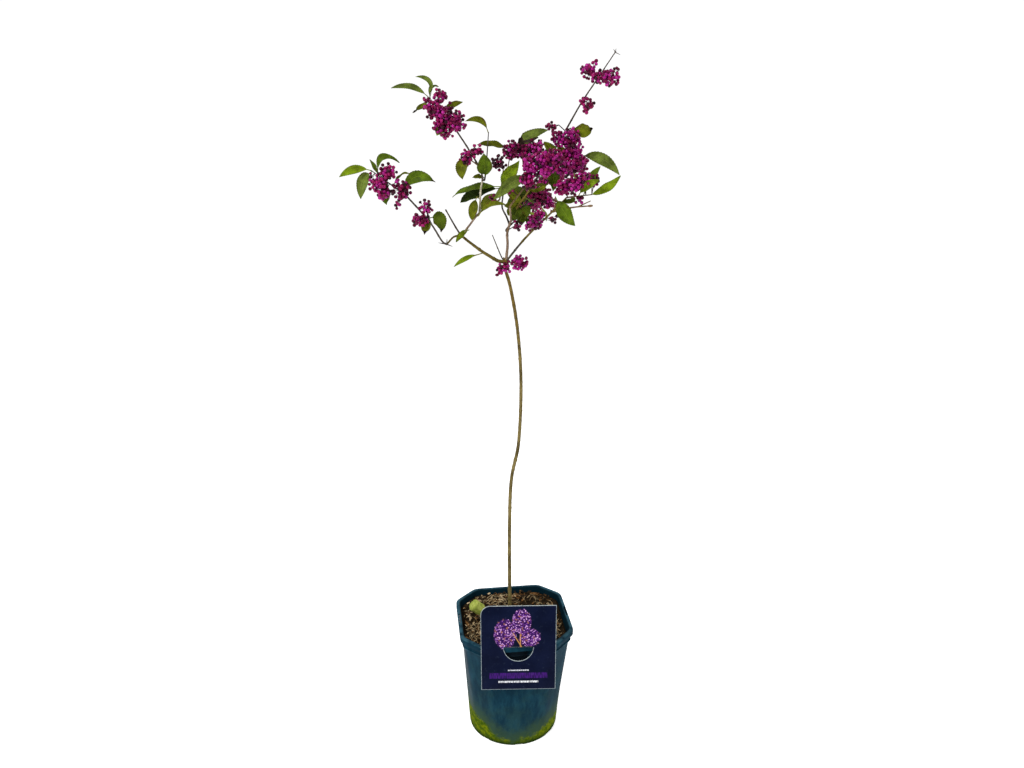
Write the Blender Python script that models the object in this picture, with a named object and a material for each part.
"""A beautyberry grown as a small standard tree in a square pot with cut corners.

Metres, +Z up. The origin is the centre of the pot's flat underside, and the plant is seen
from the front along +Y. A heading is a compass angle in degrees: 0 is +X, 90 is away from
the viewer, 270 is towards the viewer. A rise is the angle above the horizontal.

The trunk and boughs are tapering limbs. Each mass of foliage grows from one stem, which
starts a hair's breadth off its limb, and its leaves and berries are fused to that stem.
"""
import math
import random

import bmesh
import bpy
from mathutils import Matrix, Vector
from mathutils.bvhtree import BVHTree

# Driving dimensions
GAP = 0.0003            # clearance between neighbouring pieces
CLEAR = 0.0005          # clearance that leaves and berries keep from other pieces
POT_HALF = 0.095        # half the pot's width across the flats, over the rim's lip
POT_HEIGHT = 0.205
POT_BASE = 0.077        # radius of the round base
POT_TURN = 7.5          # degrees that the pot is turned, seen from above
CARD_TURN = 1.5         # degrees that the label is turned: it stands off the rim at its right
CORNER_SHARE = 0.62     # half the length of a flat side over half the pot's width
CORNER_CRISP = 45       # the higher, the crisper the eight corners
WALL = 0.0018
FLOOR = 0.004
LIP_DROP = 0.009        # how far the rim's outer lip hangs down
SHELF = 0.0065          # width of the flat shelf between the lip and the inner wall
SLOT_LENGTH = 0.028
COMPOST_TOP = 0.190
TABLET_SPOT = (-0.063, 0.024)
FORK = Vector((-0.011, 0.0, 0.812))
KNOB = 0.0042           # radius of the knob at the fork
STUB = 0.007            # length of each bough that is grown in one piece with the fork
LEAF_THICK = 0.0012
BERRY_DEPTH = 0.28      # how far a cluster dips in between its berries, over its radius

# Angles in one quarter of the pot's outline, closer together at the corners
QUARTER = (0, 15, 25, 31, 37, 45, 53, 59, 65, 75)
OUTLINE = [math.radians(quarter * 90 + angle) for quarter in range(4) for angle in QUARTER]


def clear_scene():
    for old in list(bpy.data.objects):
        bpy.data.objects.remove(old, do_unlink=True)


def material(name, color, roughness):
    """A plain Principled material, with its colour in linear light."""
    made = bpy.data.materials.new(name)
    made.use_nodes = True
    shader = made.node_tree.nodes["Principled BSDF"]
    shader.inputs["Base Color"].default_value = (*color, 1)
    shader.inputs["Roughness"].default_value = roughness
    shader.inputs["Metallic"].default_value = 0
    return made


def solid(name, shape, look=None):
    """An object from corner points and faces, with its faces turned outward."""
    points, faces = shape
    mesh = bpy.data.meshes.new(name)
    mesh.from_pydata([tuple(point) for point in points], [], faces)
    body = bmesh.new()
    body.from_mesh(mesh)
    bmesh.ops.recalc_face_normals(body, faces=body.faces)
    bmesh.ops.triangulate(body, faces=body.faces)
    body.to_mesh(mesh)
    body.free()
    if look:
        mesh.materials.append(look)
    thing = bpy.data.objects.new(name, mesh)
    bpy.context.scene.collection.objects.link(thing)
    return thing


def apply_boolean(thing, operation, solver, collection):
    """Cuts or joins the collection's objects with a thing, then removes them."""
    step = thing.modifiers.new(operation, "BOOLEAN")
    step.operation = operation
    step.operand_type = "COLLECTION"
    step.collection = collection
    step.solver = solver
    bpy.context.view_layer.update()
    bpy.context.view_layer.objects.active = thing
    bpy.ops.object.modifier_apply(modifier=step.name)
    for used in list(collection.objects):
        bpy.data.objects.remove(used, do_unlink=True)
    bpy.data.collections.remove(collection)


def keep_outer_shell(thing):
    """Drops sealed hollows and loose scraps, so that one closed body is left."""
    body = bmesh.new()
    body.from_mesh(thing.data)
    unseen = set(body.faces)
    shells = []
    while unseen:
        waiting = [unseen.pop()]
        shell = []
        while waiting:
            face = waiting.pop()
            shell.append(face)
            for near in {other for edge in face.edges for other in edge.link_faces} & unseen:
                unseen.discard(near)
                waiting.append(near)
        shells.append(shell)
    shells.sort(key=len)
    for shell in shells[:-1]:
        bmesh.ops.delete(body, geom=shell, context="FACES")
    body.to_mesh(thing.data)
    body.free()


def combine(name, shapes, look, operation="UNION", solver="MANIFOLD"):
    """One body out of a first shape and the others, which are joined to it or cut from it."""
    thing = solid(name, shapes[0], look)
    if len(shapes) > 1:
        others = bpy.data.collections.new(name + "_pieces")
        bpy.context.scene.collection.children.link(others)
        for shape in shapes[1:]:
            piece = solid(name + "_piece", shape)
            bpy.context.scene.collection.objects.unlink(piece)
            others.objects.link(piece)
        apply_boolean(thing, operation, solver, others)
        keep_outer_shell(thing)
    return thing


def box_shape(low, high):
    corners = [(x, y, z) for z in (low[2], high[2]) for y in (low[1], high[1]) for x in (low[0], high[0])]
    faces = [(0, 2, 3, 1), (4, 5, 7, 6), (0, 1, 5, 4), (2, 6, 7, 3), (0, 4, 6, 2), (1, 3, 7, 5)]
    return [Vector(corner) for corner in corners], faces


def prism_shape(outline, low_y, high_y):
    """An outline of (x, z) points, made solid from low_y to high_y."""
    count = len(outline)
    points = [Vector((x, y, z)) for y in (low_y, high_y) for x, z in outline]
    faces = [tuple(range(count)), tuple(range(2 * count - 1, count - 1, -1))]
    faces += [(i, (i + 1) % count, count + (i + 1) % count, count + i) for i in range(count)]
    return points, faces


# The pot

def outline_radius(angle, half, roundness):
    """Distance from the axis to the outline: 0 is a square with cut corners, 1 is a circle."""
    corner_half = half * (1 + CORNER_SHARE) / math.sqrt(2)
    total = 0.0
    for side in range(8):
        reach = corner_half if side % 2 else half
        share = math.cos(angle - side * math.pi / 4) / reach
        if share > 0:
            total += share ** CORNER_CRISP
    return (1 - roundness) * total ** (-1 / CORNER_CRISP) + roundness * half


def ring(height, half, roundness):
    return [Vector((math.cos(angle), math.sin(angle), 0)) * outline_radius(angle, half, roundness)
            + Vector((0, 0, height)) for angle in OUTLINE]


def wall_half(height):
    """Half width of the wall's outside, which widens evenly from the base to the rim."""
    top = POT_HALF - SHELF + WALL
    return POT_BASE + (top - POT_BASE) * height / POT_HEIGHT


def stacked(rings, first_middle, last_middle):
    """A closed body from rings, with its first and last ring closed by a fan of triangles.

    Rings listed from the top down split their faces the other way than rings listed upward,
    so the compost is listed downward, as the pot's inner wall is.
    """
    count = len(OUTLINE)
    points = [point for one in rings for point in one]
    faces = []
    for level in range(len(rings) - 1):
        for i in range(count):
            a = level * count + i
            b = level * count + (i + 1) % count
            faces += [(a, b, b + count), (a, b + count, a + count)]
    first = len(points)
    points += [first_middle, last_middle]
    last = (len(rings) - 1) * count
    for i in range(count):
        faces.append((first, (i + 1) % count, i))
        faces.append((first + 1, last + i, last + (i + 1) % count))
    return points, faces


def roundness_at(height):
    return max(0.0, 1 - height / COMPOST_TOP)


def build_pot(axis):
    """A wall, a floor, a ridge under the rim, and a rim that runs out and turns down."""
    plastic = material("pot_plastic", (0.012, 0.075, 0.105), 0.5)
    lip_foot = POT_HEIGHT - LIP_DROP
    ridge = lip_foot - 0.011
    rise = 0.0010
    band = wall_half(POT_HEIGHT)
    under = POT_HEIGHT - 0.0016
    levels = [
        (0.0, POT_BASE - 0.0015, 1),
        (0.0025, POT_BASE, 1),
        (COMPOST_TOP - 0.008, wall_half(COMPOST_TOP - 0.008), roundness_at(COMPOST_TOP - 0.008)),
        (ridge - 0.0008, wall_half(ridge), 0),
        (ridge, band + rise, 0),
        (ridge + 0.0015, band + rise, 0),
        (ridge + 0.0023, band, 0),
        (under, band, 0),
        (under, POT_HALF - 0.0016, 0),
        (lip_foot, POT_HALF - 0.0016, 0),
        (lip_foot, POT_HALF, 0),
        (POT_HEIGHT - 0.0016, POT_HALF, 0),
        (POT_HEIGHT - 0.0004, POT_HALF - 0.0005, 0),
        (POT_HEIGHT, POT_HALF - 0.0014, 0),
        (POT_HEIGHT, band - WALL + 0.0005, 0),
        (POT_HEIGHT - 0.0015, band - WALL, 0),
        (COMPOST_TOP, wall_half(COMPOST_TOP) - WALL, 0),
        (FLOOR, wall_half(FLOOR) - WALL, 1),
    ]
    rings = [ring(*level) for level in levels]
    wall = stacked(rings, Vector((0, 0, 0)), Vector((0, 0, FLOOR)))
    cuts = []
    for side in (-1, 1):
        near = band + 0.0003
        far = POT_HALF - 0.0019
        low_x, high_x = sorted((side * near, side * far))
        cuts.append(box_shape((low_x, -SLOT_LENGTH / 2, under - 0.002),
                              (high_x, SLOT_LENGTH / 2, POT_HEIGHT + 0.002)))
    for number in range(8):
        turn = Matrix.Rotation(math.radians(45 * number + 90), 3, "Z")
        notch, faces = box_shape((POT_BASE - 0.010, -0.0065, -0.002), (POT_BASE + 0.01, 0.0065, 0.0022))
        cuts.append(([turn @ point for point in notch], faces))
    pot = combine("pot", [wall] + cuts, plastic, operation="DIFFERENCE")
    pot.parent = axis


def build_compost(axis):
    """Compost that fills the pot, with a rough top that is flat where things stand on it."""
    bark = material("compost_bark", (0.07, 0.035, 0.018), 0.95)
    chance = random.Random(5)
    turn = Matrix.Rotation(math.radians(-POT_TURN), 3, "Z")
    stands = [(turn @ Vector((-0.0055, 0, 0)), 0.014), (turn @ Vector((*TABLET_SPOT, 0)), 0.024)]
    inner = wall_half(COMPOST_TOP) - WALL - 2 * GAP
    rings = [ring(FLOOR + GAP, wall_half(FLOOR) - WALL - 2 * GAP, 1)]
    for share in (1.0, 0.985, 0.80, 0.60, 0.40, 0.20):
        level = ring(COMPOST_TOP, inner * share, 0)
        for point in level:
            held = any((point.xy - place.xy).length < reach for place, reach in stands)
            if share < 1 and not held:
                point.z -= chance.uniform(0, 0.003)
        rings.append(level)
    rings.reverse()
    top = Vector((0, 0, COMPOST_TOP))
    compost = solid("compost", stacked(rings, top, Vector((0, 0, FLOOR + GAP))), bark)
    compost.parent = axis


def build_tablet():
    """A feed tablet that lies on the compost: a short round stick, tilted."""
    clay = material("tablet_clay", (0.42, 0.48, 0.20), 0.8)
    radius = 0.0105
    half = 0.011
    bevel = 0.003
    tilt = math.radians(45)
    bpy.ops.mesh.primitive_cylinder_add(vertices=14, radius=radius, depth=2 * half)
    tablet = bpy.context.active_object
    tablet.name = "feed_tablet"
    tablet.data.materials.append(clay)
    edge = tablet.modifiers.new("edge", "BEVEL")
    edge.width = bevel
    edge.segments = 2
    lowest = (half - bevel) * math.sin(tilt) + (radius - bevel) * math.cos(tilt) + bevel
    tablet.rotation_euler = (0, math.radians(90) - tilt, math.radians(200))
    tablet.location = (*TABLET_SPOT, COMPOST_TOP + GAP + lowest)


def build_label():
    """A card that hangs on the rim's left corner, with a half-moon tongue over the rim."""
    card_look = material("label_card", (0.008, 0.012, 0.045), 0.35)
    thick = 0.0008
    width = 0.1205
    foot = 0.130
    head = 0.284
    middle = 0.006
    corner = 0.016
    hinge = 0.2092
    moon_half = 0.024
    moon_drop = 0.026
    card_turn = Matrix.Rotation(math.radians(CARD_TURN), 3, "Z")
    pot_turn = Matrix.Rotation(math.radians(POT_TURN), 3, "Z")
    outward = card_turn @ Vector((0, -1, 0))
    back = -GAP - max((pot_turn @ point).dot(outward) for point in ring(POT_HEIGHT, POT_HALF, 0))
    left, right = middle - width / 2, middle + width / 2
    outline = [(left, foot), (right, foot), (right, head)]
    for step in range(7):
        angle = math.radians(90 + 15 * step)
        outline.append((left + corner + corner * math.cos(angle), head - corner + corner * math.sin(angle)))
    moon = [(middle + moon_half * math.cos(math.radians(180 + 12 * step)),
             hinge + moon_drop * math.sin(math.radians(180 + 12 * step))) for step in range(16)]
    to_card = card_turn.inverted() @ pot_turn
    inner = wall_half(POT_HEIGHT) - WALL
    rows = [(Vector((middle, back - thick / 2, hinge + 0.0006)), Vector((1, 0, 0)))]
    for y, z in ((-inner + 0.0006, POT_HEIGHT + 0.0016), (-inner + 0.0020, POT_HEIGHT - 0.0005),
                 (-inner + 0.0040, POT_HEIGHT - 0.0080)):
        rows.append((to_card @ Vector((-0.0030, y, z)), to_card @ Vector((1, 0, 0))))
    points = []
    travelled = 0.0
    before = rows[0][0]
    for here, across in rows:
        travelled += (here - before).length
        before = here
        share = min(0.97, travelled / moon_drop)
        half = (moon_half - 0.0008) * math.sqrt(1 - share * share)
        for side, lift in ((-1, 0), (1, 0), (1, 1), (-1, 1)):
            points.append(here + across * side * half + Vector((0, 0.0003, 0.0006)) * lift)
    faces = [(3, 2, 1, 0)]
    for level in range(len(rows) - 1):
        for i in range(4):
            j = (i + 1) % 4
            faces.append((level * 4 + i, level * 4 + j, level * 4 + 4 + j, level * 4 + 4 + i))
    last = (len(rows) - 1) * 4
    faces.append((last, last + 1, last + 2, last + 3))
    card = combine("plant_label",
                   [prism_shape(outline, back - thick, back), prism_shape(moon, back - 0.003, back + 0.003)],
                   card_look, operation="DIFFERENCE", solver="EXACT")
    tongue = solid("tongue", (points, faces))
    pieces = bpy.data.collections.new("label_pieces")
    bpy.context.scene.collection.children.link(pieces)
    bpy.context.scene.collection.objects.unlink(tongue)
    pieces.objects.link(tongue)
    apply_boolean(card, "UNION", "EXACT", pieces)
    card.rotation_euler = (0, 0, math.radians(CARD_TURN))


# Limbs

def direction(heading, rise):
    flat = math.cos(math.radians(rise))
    return Vector((flat * math.cos(math.radians(heading)), flat * math.sin(math.radians(heading)),
                   math.sin(math.radians(rise))))


def smooth_path(points, steps):
    """Points on a smooth curve that passes through the given ones."""
    points = [Vector(point) for point in points]
    ends = [2 * points[0] - points[1]] + points + [2 * points[-1] - points[-2]]
    path = []
    for i in range(1, len(ends) - 2):
        a, b, c, d = ends[i - 1:i + 3]
        for step in range(steps):
            t = step / steps
            path.append(0.5 * (2 * b + (c - a) * t + (2 * a - 5 * b + 4 * c - d) * t * t
                               + (3 * b - a - 3 * c + d) * t ** 3))
    path.append(points[-1])
    return path


def sweep(path, radii, sides):
    """A closed tube along a path, with a radius for each of its points."""
    points = []
    across = None
    for i, here in enumerate(path):
        ahead = (path[min(i + 1, len(path) - 1)] - path[max(i - 1, 0)]).normalized()
        if across is None:
            across = ahead.orthogonal().normalized()
        across = (across - ahead * across.dot(ahead)).normalized()
        other = ahead.cross(across)
        for side in range(sides):
            angle = 2 * math.pi * side / sides
            points.append(here + radii[i] * (across * math.cos(angle) + other * math.sin(angle)))
    faces = [tuple(range(sides - 1, -1, -1))]
    for level in range(len(path) - 1):
        for i in range(sides):
            j = (i + 1) % sides
            faces.append((level * sides + i, level * sides + j, level * sides + sides + j,
                          level * sides + sides + i))
    last = (len(path) - 1) * sides
    faces.append(tuple(range(last, last + sides)))
    return points, faces


class Limb:
    """A tapering limb: its path, and its radius at any share of its length."""

    def __init__(self, points, thick, thin, steps=4):
        self.path = smooth_path(points, steps)
        self.thick = thick
        self.thin = thin
        self.marks = [0.0]
        for a, b in zip(self.path, self.path[1:]):
            self.marks.append(self.marks[-1] + (b - a).length)
        self.length = self.marks[-1]

    def radius(self, share):
        return self.thick + (self.thin - self.thick) * share

    def at(self, share):
        """Place and direction at a share of the limb's length."""
        wanted = min(max(share, 0.0), 1.0) * self.length
        i = max(k for k in range(len(self.marks) - 1) if self.marks[k] <= wanted + 1e-9)
        span = self.marks[i + 1] - self.marks[i]
        place = self.path[i].lerp(self.path[i + 1], (wanted - self.marks[i]) / span)
        return place, (self.path[i + 1] - self.path[i]).normalized()

    def cut(self, start, end):
        """The path and radii between two distances from the limb's foot."""
        marks = [start] + [mark for mark in self.marks if start + 0.001 < mark < end - 0.001] + [end]
        path = [self.at(mark / self.length)[0] for mark in marks]
        return path, [self.radius(mark / self.length) for mark in marks]

    def foot_of(self, share, heading_to, radius):
        """Where a side shoot of some radius starts, so that it just clears this limb."""
        place, ahead = self.at(share)
        if share >= 1:
            return place + ahead * (GAP + radius * math.sin(ahead.angle(heading_to)))
        slant = ahead.angle(heading_to)
        reach = (self.radius(share) + GAP + radius * abs(math.cos(slant))) / math.sin(slant)
        return place + heading_to * reach


FIXED = []     # a search tree for every limb and mass that has been placed


def tree_of(shape):
    points, faces = shape
    return BVHTree.FromPolygons([tuple(point) for point in points], faces)


def build_limb(name, limb, look, sides, start=0.0):
    path, radii = limb.cut(start, limb.length)
    shape = sweep(path, radii, sides)
    FIXED.append(tree_of(shape))
    solid(name, shape, look)


def ball(middle, radius, detail=1, turn=None):
    """A faceted ball."""
    body = bmesh.new()
    bmesh.ops.create_icosphere(body, subdivisions=detail, radius=radius)
    body.verts.ensure_lookup_table()
    points = [(turn @ vertex.co if turn else vertex.co.copy()) + middle for vertex in body.verts]
    faces = [tuple(vertex.index for vertex in face.verts) for face in body.faces]
    body.free()
    return points, faces


def build_trunk(boughs, look):
    """The clear stem, flared at its foot, with the knob and the feet of its boughs."""
    trunk = Limb([(-0.0055, 0, COMPOST_TOP + GAP), (-0.006, 0, 0.36), (-0.003, 0, 0.454), (0.009, 0, 0.522),
                  (0.0124, 0, 0.621), (0.007, 0, 0.705), (-0.004, 0, 0.772), (-0.012, 0, 0.8005), FORK],
                 0.0032, 0.0025, steps=3)
    radii = []
    for mark in trunk.marks:
        flare = 0.0014 * math.exp(-mark / 0.008)
        radii.append(trunk.radius(mark / trunk.length) + flare)
    path = [trunk.path[0], trunk.path[0] + Vector((0, 0, 0.006)), trunk.path[0] + Vector((0, 0, 0.016))]
    near_foot = [radii[0], radii[0] - 0.0007, radii[0] - 0.0012]
    shapes = [sweep(path + trunk.path[1:], near_foot + radii[1:], 8), ball(FORK, KNOB, 2)]
    for bough in boughs:
        shapes.append(sweep(*bough.cut(0.0005, STUB), 6))
    FIXED.extend(tree_of(shape) for shape in shapes)
    combine("trunk", shapes, look)
    return trunk


# Foliage

def thicken(shape, margin):
    """The same shape with every point moved outward."""
    points, faces = shape
    normals = [Vector((0, 0, 0)) for _ in points]
    middle = sum(points, Vector()) / len(points)
    for face in faces:
        a, b, c = (points[i] for i in face[:3])
        normal = (b - a).cross(c - a)
        for i in face:
            normals[i] += normal
    volume = sum((points[f[0]] - middle).dot((points[f[1]] - middle).cross(points[f[2]] - middle))
                 for f in faces)
    sign = 1 if volume > 0 else -1
    return [point + sign * margin * normal.normalized() for point, normal in zip(points, normals)], faces


def leaf_shape(root, heading, rise, length, width, arch, facing):
    """A folded blade on a stalk. Facing turns its upper side from the sky to the front."""
    along = direction(heading, rise)
    up = direction(heading, rise + 90)
    front = Vector((0, -1, 0)) - along * Vector((0, -1, 0)).dot(along)
    face = (up * (1 - facing) + front * facing).normalized()
    side = along.cross(face).normalized()
    points = []
    for share, half in ((0.0, 0.0009), (0.14, 0.0008), (0.42, width * 0.5), (0.74, width * 0.40)):
        middle = root + along * length * share + up * length * arch * 4 * share * (1 - share)
        fold = face * half * 0.25 if half > 0.001 else Vector((0, 0, 0))
        thick = LEAF_THICK / 2 if half > 0.001 else half
        points += [middle - side * half + fold, middle + face * thick,
                   middle + side * half + fold, middle - face * thick]
    points.append(root + along * length)
    faces = [(0, 1, 2), (0, 2, 3)]
    for level in (0, 4, 8):
        for i in range(4):
            j = (i + 1) % 4
            faces += [(level + i, level + 4 + j, level + j), (level + i, level + 4 + i, level + 4 + j)]
    faces += [(12 + i, 16, 12 + (i + 1) % 4) for i in range(4)]
    return points, faces


def cluster_shape(middle, size, chance):
    """A cluster of berries as one lumpy ball, with fewer faces on the smallest."""
    points, faces = ball(Vector((0, 0, 0)), size, 2 if size > 0.0115 else 1)
    return [middle + point * chance.uniform(1 - BERRY_DEPTH, 1.06) for point in points], faces


class Mass:
    """One mass of twigs, leaves and berries, which keeps to its own space round its stem."""

    def __init__(self, name, limb, share, space=0.085, start=None):
        self.name = name
        self.limb = limb
        self.share = share
        self.space = space
        self.start = start
        self.shapes = []
        self.chance = random.Random(name)
        self.layout = random.Random(name + " layout")

    def keeps_clear(self, shape):
        if any((point - self.middle).length > self.space for point in shape[0]):
            print(self.name, "skips a piece outside its space")
            return False
        tree = tree_of(thicken(shape, CLEAR))
        if any(tree.overlap(other) for other in FIXED):
            print(self.name, "skips a piece that touches")
            return False
        return True

    def stem(self, heading, rise, length, thick=0.0011, leave=None):
        """The mass's own stem, from just off its limb. It may leave the limb another way."""
        ahead = direction(heading, rise)
        outward = direction(*leave) if leave else ahead
        foot = self.start or self.limb.foot_of(self.share, outward, thick)
        turn = foot + outward * min(0.004, length / 3)
        points = [foot, foot + ahead * length / 2, foot + ahead * length]
        if leave:
            points = [foot, turn, turn + ahead * length * 0.3, foot + ahead * length]
        stem = Limb(points, thick, 0.0007, steps=3)
        self.middle = stem.at(0.5)[0]
        shape = sweep(stem.path, [stem.radius(mark / stem.length) for mark in stem.marks], 5)
        if any(tree_of(shape).overlap(other) for other in FIXED):
            print(self.name, "STEM TOUCHES")
        self.shapes.append(shape)
        return stem

    def leaf(self, stem, share, heading, rise, length, width, arch=0.12, facing=0.3):
        root = stem.at(share)[0]
        shape = leaf_shape(root, heading, rise, length, width, arch, facing)
        if self.keeps_clear(shape):
            self.shapes.append(shape)
        else:
            print("    leaf", share, heading)

    def berries(self, stem, share, heading, rise, reach, size):
        """A round cluster on a short stalk, smaller where its space is narrow."""
        root = stem.at(share)[0]
        ahead = direction(heading, rise)
        middle = root + ahead * reach
        stalk = sweep([root, middle], [0.0008, 0.0008], 3)
        if not self.keeps_clear(stalk):
            print("    stalk", share, heading)
            return
        self.shapes.append(stalk)
        for shrink in (1.0, 0.85, 0.7, 0.55):
            shape = cluster_shape(middle, size * shrink, self.chance)
            if self.keeps_clear(shape):
                self.shapes.append(shape)
                return
        print("    cluster", share, heading)

    def grow(self, stem, pairs, leaf_length, size, first=0):
        """Pairs of opposite leaves, each pair square to the last, with berries in their axils."""
        for pair in range(pairs):
            share = 0.25 + 0.7 * pair / max(1, pairs - 1)
            ahead = stem.at(share)[1]
            across = ahead.orthogonal().normalized()
            turn = Matrix.Rotation(math.radians(first + 90 * pair + self.layout.uniform(-15, 15)), 3, ahead)
            for side in (-1, 1):
                out = turn @ across * side
                aim = out * 0.8 + ahead * 0.45 + Vector((0, 0, -0.1))
                heading = math.degrees(math.atan2(aim.y, aim.x))
                rise = math.degrees(math.asin(aim.normalized().z))
                length = leaf_length * self.layout.uniform(0.75, 1.1)
                if self.layout.random() < 0.8:
                    self.leaf(stem, share, heading, rise, length, length * 0.32, 0.15, 0.2)
                if self.layout.random() < 0.75:
                    self.berries(stem, share, heading, rise + 15, size * 0.9, size * self.layout.uniform(0.8, 1))

    def finish(self, look):
        FIXED.extend(tree_of(shape) for shape in self.shapes)
        combine(self.name, self.shapes, look)


def left_masses(low_outer, left, mid, upper, look):
    mass = Mass("foliage_left_tip", low_outer, 1)
    stem = mass.stem(175, 35, 0.060, thick=0.0013)
    mass.leaf(stem, 0.98, 195, -11, 0.046, 0.012, 0.14, 0.90)
    mass.leaf(stem, 0.96, 235, -57, 0.045, 0.016, 0.20, 1.00)
    mass.leaf(stem, 0.80, 18, 28, 0.036, 0.007, 0.50, 0.70)
    mass.leaf(stem, 0.93, 109, 46, 0.021, 0.007, 0.10, 0.85)
    mass.leaf(stem, 0.36, 30, 30, 0.035, 0.004, 0.20, 0.50)
    mass.leaf(stem, 0.10, 355, 23, 0.055, 0.016, 0.12, 0.95)
    mass.leaf(stem, 0.47, 146, -76, 0.031, 0.015, 0.10, 0.95)
    mass.berries(stem, 0.72, 321, 29, 0.018, 0.012)
    mass.berries(stem, 0.62, 237, -19, 0.013, 0.014)
    mass.berries(stem, 0.52, 252, -48, 0.019, 0.010)
    mass.berries(stem, 0.23, 311, -3, 0.008, 0.014)
    mass.berries(stem, 0.12, 180, -67, 0.017, 0.007)
    mass.berries(stem, 0.88, 233, -41, 0.007, 0.006)
    mass.finish(look)

    mass = Mass("foliage_left_low", low_outer, 0.42)
    stem = mass.stem(250, 50, 0.009)
    mass.berries(stem, 0.70, 225, 71, 0.017, 0.010)
    mass.berries(stem, 0.60, 215, -4, 0.014, 0.012)
    mass.leaf(stem, 0.75, 320, -37, 0.031, 0.017, 0.32, 1.00)
    mass.leaf(stem, 0.70, 239, -62, 0.025, 0.014, 0.10, 1.00)
    mass.finish(look)

    mass = Mass("foliage_left_spur", left, 0.30)
    stem = mass.stem(205, -14, 0.014, thick=0.0008)
    mass.leaf(stem, 0.90, 201, -23, 0.036, 0.010, 0.06, 0.95)
    mass.finish(look)

    mass = Mass("foliage_mid_low", mid, 0.16)
    stem = mass.stem(262, -20, 0.006, thick=0.0008)
    mass.leaf(stem, 0.90, 227, -28, 0.025, 0.011, 0.12, 1.00)
    mass.finish(look)

    mass = Mass("foliage_upper_left", upper, 1)
    stem = mass.stem(175, 50, 0.065, thick=0.0012)
    mass.leaf(stem, 0.98, 190, 13, 0.057, 0.009, 0.15, 0.75)
    mass.leaf(stem, 0.98, 165, 52, 0.036, 0.007, 0.30, 0.85)
    mass.leaf(stem, 0.95, 38, 48, 0.024, 0.005, 0.40, 0.70)
    mass.leaf(stem, 0.90, 210, -23, 0.034, 0.009, -0.03, 0.80)
    mass.leaf(stem, 0.57, 21, 25, 0.037, 0.009, 0.08, 0.85)
    mass.leaf(stem, 0.39, 216, -53, 0.029, 0.019, 0.05, 1.00)
    mass.berries(stem, 0.74, 318, 57, 0.016, 0.011)
    mass.berries(stem, 0.65, 223, 3, 0.013, 0.013)
    mass.berries(stem, 0.48, 259, -3, 0.014, 0.015)
    mass.berries(stem, 0.37, 222, -29, 0.015, 0.012)
    mass.berries(stem, 0.25, 310, 17, 0.014, 0.015)
    mass.berries(stem, 0.16, 221, -33, 0.016, 0.010)
    mass.berries(stem, 0.90, 214, -3, 0.007, 0.007)
    mass.berries(stem, 0.55, 341, 32, 0.014, 0.008)
    mass.finish(look)

    mass = Mass("foliage_mid_left", upper, 0.55)
    stem = mass.stem(215, 30, 0.016)
    mass.berries(stem, 0.86, 350, 48, 0.017, 0.009)
    mass.berries(stem, 0.86, 236, 15, 0.007, 0.012)
    mass.leaf(stem, 0.98, 231, -67, 0.032, 0.017, 0.30, 1.00)
    mass.finish(look)

    mass = Mass("foliage_mid_up", upper, 0.36)
    stem = mass.stem(75, 67, 0.074, thick=0.0013, leave=(60, 10))
    mass.leaf(stem, 0.98, 193, 24, 0.039, 0.009, 0.30, 0.80)
    mass.leaf(stem, 0.11, 268, 59, 0.039, 0.023, -0.05, 1.00)
    mass.leaf(stem, 0.09, 209, 2, 0.021, 0.007, 0.10, 0.80)
    mass.finish(look)

    mass = Mass("foliage_mid_leaf", mid, 0.45)
    stem = mass.stem(300, 10, 0.006, thick=0.0008)
    mass.leaf(stem, 0.90, 344, 23, 0.048, 0.009, 0.22, 0.95)
    mass.finish(look)

    mass = Mass("foliage_upper_low", upper, 0.13)
    stem = mass.stem(200, 35, 0.004, thick=0.0008)
    mass.leaf(stem, 0.90, 226, -67, 0.036, 0.019, 0.12, 1.00)
    mass.finish(look)


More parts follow.
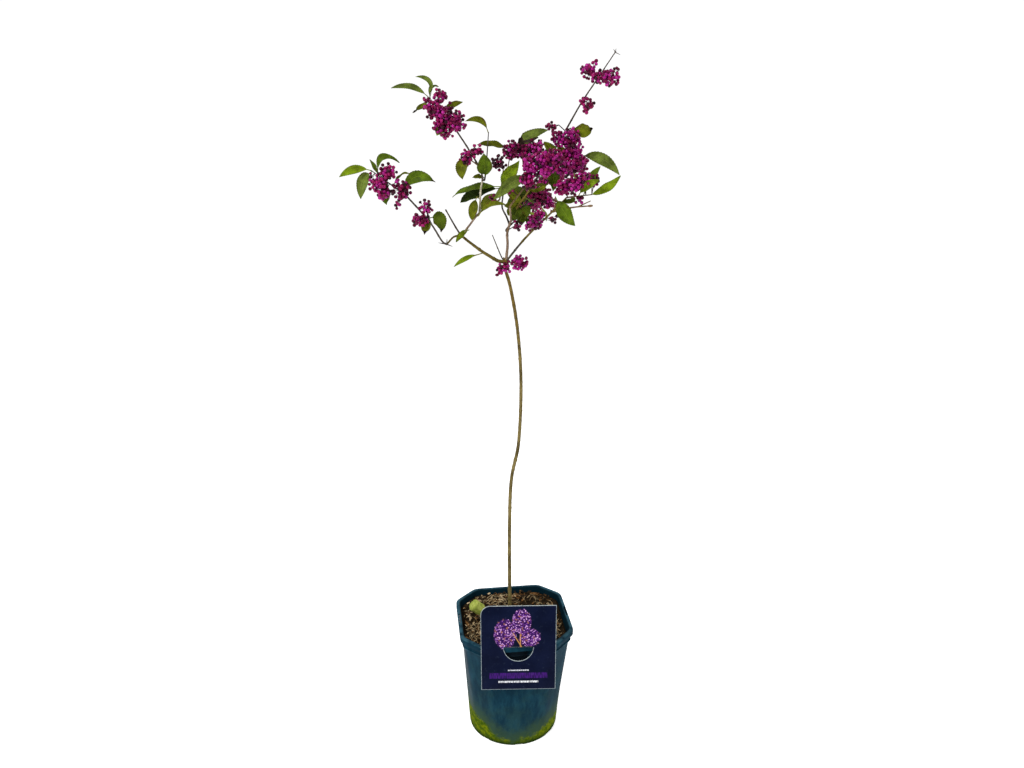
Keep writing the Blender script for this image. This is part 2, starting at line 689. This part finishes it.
def centre_masses(mid, front, back_left, whip, look):
    mass = Mass("foliage_centre_left", mid, 1)
    stem = mass.stem(55, 78, 0.047)
    mass.leaf(stem, 0.41, 166, -11, 0.079, 0.015, 0.06, 0.55)
    mass.leaf(stem, 0.37, 155, -18, 0.074, 0.023, 0.05, 0.60)
    mass.leaf(stem, 0.19, 139, -34, 0.048, 0.017, 0.10, 0.95)
    mass.leaf(stem, 0.30, 316, 48, 0.056, 0.020, 0.06, 1.00)
    mass.berries(stem, 0.94, 224, 47, 0.013, 0.011)
    mass.berries(stem, 0.30, 219, -38, 0.020, 0.006)
    mass.finish(look)

    mass = Mass("foliage_centre_front", front, 1)
    stem = mass.stem(335, 50, 0.080, thick=0.0013)
    mass.leaf(stem, 0.55, 200, -23, 0.057, 0.017, 0.12, 0.95)
    mass.berries(stem, 0.55, 274, 19, 0.013, 0.013)
    mass.berries(stem, 0.80, 236, 42, 0.013, 0.015)
    mass.berries(stem, 0.98, 325, 14, 0.018, 0.017)
    mass.berries(stem, 0.98, 272, 33, 0.014, 0.013)
    mass.berries(stem, 0.98, 352, -11, 0.029, 0.012)
    mass.berries(stem, 0.88, 293, -11, 0.018, 0.012)
    mass.berries(stem, 0.25, 224, 33, 0.017, 0.006)
    mass.leaf(stem, 0.98, 27, -65, 0.042, 0.018, 0.22, 1.00)
    mass.leaf(stem, 0.62, 330, 0, 0.027, 0.009, 0.20, 0.45)
    mass.finish(look)

    mass = Mass("foliage_centre_low", whip, 0.225)
    stem = mass.stem(30, 30, 0.046)
    mass.berries(stem, 0.90, 298, -3, 0.011, 0.014)
    mass.berries(stem, 0.95, 324, -32, 0.024, 0.012)
    mass.berries(stem, 0.85, 250, 30, 0.015, 0.011)
    mass.leaf(stem, 0.21, 158, 42, 0.036, 0.015, 0.10, 1.00)
    mass.leaf(stem, 0.34, 143, 52, 0.033, 0.021, 0.08, 1.00)
    mass.leaf(stem, 0.40, 219, -73, 0.033, 0.019, 0.10, 1.00)
    mass.leaf(stem, 0.73, 35, 45, 0.029, 0.016, 0.10, 1.00)
    mass.leaf(stem, 0.65, 106, 47, 0.031, 0.019, 0.10, 1.00)
    mass.leaf(stem, 0.30, 148, 5, 0.031, 0.017, 0.10, 1.00)
    mass.berries(stem, 0.22, 222, -72, 0.029, 0.008)
    mass.finish(look)

    mass = Mass("foliage_centre_back", back_left, 1, space=0.105)
    stem = mass.stem(45, 75, 0.071)
    mass.berries(stem, 0.82, 289, 43, 0.015, 0.015)
    mass.berries(stem, 0.86, 335, 12, 0.024, 0.014)
    mass.leaf(stem, 0.95, 193, 10, 0.055, 0.011, 0.10, 0.60)
    mass.leaf(stem, 0.96, 344, 27, 0.067, 0.018, 0.20, 0.70)
    mass.berries(stem, 0.89, 343, 13, 0.042, 0.014)
    mass.leaf(stem, 0.98, 5, 0, 0.046, 0.014, 0.10, 0.50)
    mass.finish(look)


def right_masses(whip, right, look):
    mass = Mass("foliage_right_upper", whip, 0.495)
    stem = mass.stem(350, 5, 0.052)
    mass.leaf(stem, 0.78, 343, -23, 0.067, 0.017, 0.21, 1.00)
    mass.berries(stem, 0.60, 280, -33, 0.024, 0.015)
    mass.berries(stem, 0.70, 259, 42, 0.014, 0.014)
    mass.berries(stem, 0.40, 269, -3, 0.014, 0.011)
    mass.berries(stem, 0.87, 302, -54, 0.012, 0.010)
    mass.leaf(stem, 0.30, 238, 71, 0.021, 0.014, 0.10, 1.00)
    mass.finish(look)

    mass = Mass("foliage_top_mid", whip, 0.62)
    stem = mass.stem(305, 25, 0.013)
    mass.berries(stem, 0.66, 196, -39, 0.019, 0.013)
    mass.berries(stem, 0.66, 307, -49, 0.011, 0.013)
    mass.leaf(stem, 0.90, 13, 4, 0.035, 0.016, 0.08, 1.00)
    mass.finish(look)

    mass = Mass("foliage_top_small", whip, 0.63)
    stem = mass.stem(165, 40, 0.012, thick=0.0008)
    mass.berries(stem, 0.95, 160, -13, 0.012, 0.008)
    mass.finish(look)

    mass = Mass("foliage_right", right, 1)
    stem = mass.stem(8, 6, 0.037)
    mass.berries(stem, 0.30, 249, 63, 0.019, 0.014)
    mass.berries(stem, 0.05, 227, 45, 0.020, 0.012)
    mass.berries(stem, 0.75, 229, 71, 0.024, 0.011)
    mass.berries(stem, 0.98, 79, 79, 0.022, 0.011)
    mass.leaf(stem, 0.80, 16, 28, 0.057, 0.013, -0.10, 0.70)
    mass.leaf(stem, 0.66, 19, 58, 0.047, 0.012, 0.08, 1.00)
    mass.leaf(stem, 0.10, 51, -22, 0.014, 0.007, 0.10, 0.90)
    mass.berries(stem, 0.40, 0, -57, 0.005, 0.007)
    mass.finish(look)

    mass = Mass("foliage_right_leaf", right, 0.84)
    stem = mass.stem(190, 70, 0.008, thick=0.0008)
    mass.leaf(stem, 0.95, 328, -41, 0.050, 0.022, 0.08, 1.00)
    mass.finish(look)

    mass = Mass("foliage_right_low", right, 0.47)
    stem = mass.stem(290, 60, 0.018)
    mass.berries(stem, 0.60, 287, 17, 0.011, 0.012)
    mass.berries(stem, 0.50, 239, -27, 0.008, 0.008)
    mass.berries(stem, 0.98, 349, 29, 0.012, 0.008)
    mass.leaf(stem, 0.30, 200, 40, 0.015, 0.012, 0.10, 1.00)
    mass.finish(look)


def whip_masses(whip, look):
    mass = Mass("foliage_tip_low", whip, 0.765)
    stem = mass.stem(330, 5, 0.006, thick=0.0008)
    mass.berries(stem, 0.90, 302, -61, 0.007, 0.010)
    mass.finish(look)

    mass = Mass("foliage_tip_left", whip, 0.885)
    stem = mass.stem(190, 30, 0.008, thick=0.0009)
    mass.berries(stem, 0.90, 200, 24, 0.010, 0.011)
    mass.berries(stem, 0.30, 263, -18, 0.008, 0.010)
    mass.berries(stem, 0.90, 0, 89, 0.017, 0.006)
    mass.finish(look)

    mass = Mass("foliage_tip_right", whip, 0.885)
    stem = mass.stem(345, -5, 0.008, thick=0.0009)
    mass.berries(stem, 0.60, 306, -10, 0.010, 0.012)
    mass.berries(stem, 0.90, 353, -6, 0.016, 0.008)
    mass.berries(stem, 0.90, 0, 33, 0.019, 0.006)
    mass.finish(look)


def fork_masses(look):
    """Two short shoots with one head each, straight from the knob."""
    for name, leaving, head in (("foliage_fork_right", (352, -6), (331, 1, 0.013, 0.014)),
                                ("foliage_fork_left", (235, -35), (268, -28, 0.007, 0.008))):
        mass = Mass(name, None, 0, start=FORK + direction(*leaving) * (KNOB + GAP))
        stem = mass.stem(*leaving, 0.006, thick=0.0008)
        mass.berries(stem, 0.80, *head)
        mass.finish(look)


def back_masses(back_right, back_low, look):
    """The side that the viewer doesn't see, grown by the same rule as the front."""
    mass = Mass("foliage_back_right", back_right, 1)
    stem = mass.stem(42, 33, 0.085, thick=0.0013)
    mass.grow(stem, 3, 0.048, 0.014, first=60)
    mass.finish(look)

    mass = Mass("foliage_back_low", back_low, 1)
    stem = mass.stem(70, 12, 0.060, thick=0.0012)
    mass.grow(stem, 3, 0.046, 0.012, first=105)
    mass.finish(look)


def build_plant():
    bark = material("stem_bark", (0.13, 0.10, 0.045), 0.8)
    twig = material("twig_bark", (0.10, 0.085, 0.06), 0.8)
    foliage = material("leaf_green", (0.12, 0.19, 0.012), 0.6)
    fruit = material("berry_purple", (0.30, 0.008, 0.20), 0.3)

    left = Limb([FORK, (-0.0225, -0.003, 0.8135), (-0.036, -0.006, 0.8215), (-0.050, -0.010, 0.831),
                 (-0.073, -0.019, 0.850), (-0.082, -0.021, 0.861), (-0.099, -0.022, 0.891)], 0.0021, 0.0010)
    whip = Limb([FORK, (-0.0085, 0.004, 0.836), (-0.008, 0.008, 0.859), (0.007, 0.008, 0.893),
                 (0.025, 0.008, 0.918), (0.071, 0.004, 0.993), (0.097, 0, 1.038), (0.122, -0.004, 1.075),
                 (0.143, -0.008, 1.106)], 0.0019, 0.0006)
    right = Limb([FORK, (0.009, -0.018, 0.839), (0.027, -0.030, 0.860), (0.055, -0.050, 0.889),
                  (0.075, -0.055, 0.909)], 0.0017, 0.0011)
    boughs = [left, whip, right]
    build_trunk(boughs, bark)
    build_limb("bough_left", left, bark, 6, STUB + GAP)
    build_limb("bough_whip", whip, bark, 6, STUB + GAP)
    build_limb("bough_right", right, twig, 6, STUB + GAP)

    ahead = direction(135, 35)
    snag = FORK + ahead * (KNOB + GAP)
    build_limb("twig_dead", Limb([snag, snag + ahead * 0.008, (-0.032, 0.030, 0.849)], 0.0010, 0.0007), twig, 5)

    aim = direction(205, -15)
    foot = left.foot_of(0.66, aim, 0.0012)
    low_inner = Limb([foot, foot + aim * 0.010, (-0.097, -0.035, 0.842)], 0.0013, 0.0013)
    build_limb("bough_low_inner", low_inner, twig, 6)
    aim = direction(200, 20)
    low_outer = Limb([low_inner.path[-1] + aim * (GAP + 0.0015), (-0.104, -0.037, 0.847), (-0.121, -0.045, 0.876),
                      (-0.152, -0.050, 0.912)], 0.0013, 0.0013)
    build_limb("bough_low_outer", low_outer, twig, 6)

    aim = direction(30, 55)
    foot = left.foot_of(0.635, aim, 0.0015)
    mid = Limb([foot, foot + aim * 0.008, (-0.051, -0.005, 0.884), (-0.037, 0.0, 0.893), (-0.021, 0.003, 0.903)],
               0.0016, 0.0012)
    build_limb("bough_mid", mid, twig, 6)
    aim = direction(80, 80)
    foot = mid.foot_of(0.55, aim, 0.0014)
    upper = Limb([foot, (-0.048, 0.0, 0.918), (-0.0455, 0.005, 0.935), (-0.051, 0.008, 0.951),
                  (-0.066, 0.012, 0.976), (-0.081, 0.018, 0.998)], 0.0015, 0.0012)
    build_limb("bough_upper_left", upper, twig, 6)

    aim = direction(285, 45)
    foot = whip.foot_of(0.155, aim, 0.0013)
    front = Limb([foot, foot + aim * 0.012, (-0.005, -0.030, 0.895)], 0.0014, 0.0013)
    build_limb("bough_front", front, twig, 6)
    aim = direction(115, 45)
    foot = whip.foot_of(0.165, aim, 0.0013)
    back_left = Limb([foot, foot + aim * 0.012, (-0.017, 0.045, 0.890), (-0.016, 0.070, 0.907)], 0.0014, 0.0012)
    build_limb("bough_back_left", back_left, twig, 6)
    aim = direction(70, 25)
    foot = whip.foot_of(0.19, aim, 0.0013)
    back_right = Limb([foot, foot + aim * 0.015, (0.013, 0.055, 0.886), (0.027, 0.080, 0.899)], 0.0014, 0.0012)
    build_limb("bough_back_right", back_right, twig, 6)
    aim = direction(95, 10)
    foot = whip.foot_of(0.13, aim, 0.0013)
    back_low = Limb([foot, foot + aim * 0.015, (0.002, 0.055, 0.868), (0.011, 0.078, 0.880)], 0.0014, 0.0012)
    build_limb("bough_back_low", back_low, twig, 6)

    left_masses(low_outer, left, mid, upper, foliage)
    centre_masses(mid, front, back_left, whip, foliage)
    right_masses(whip, right, foliage)
    whip_masses(whip, fruit)
    fork_masses(fruit)
    back_masses(back_right, back_low, foliage)


def build():
    clear_scene()
    axis = bpy.data.objects.new("pot_axis", None)
    axis.rotation_euler = (0, 0, math.radians(POT_TURN))
    bpy.context.scene.collection.objects.link(axis)
    build_pot(axis)
    build_compost(axis)
    build_tablet()
    build_label()
    build_plant()


build()
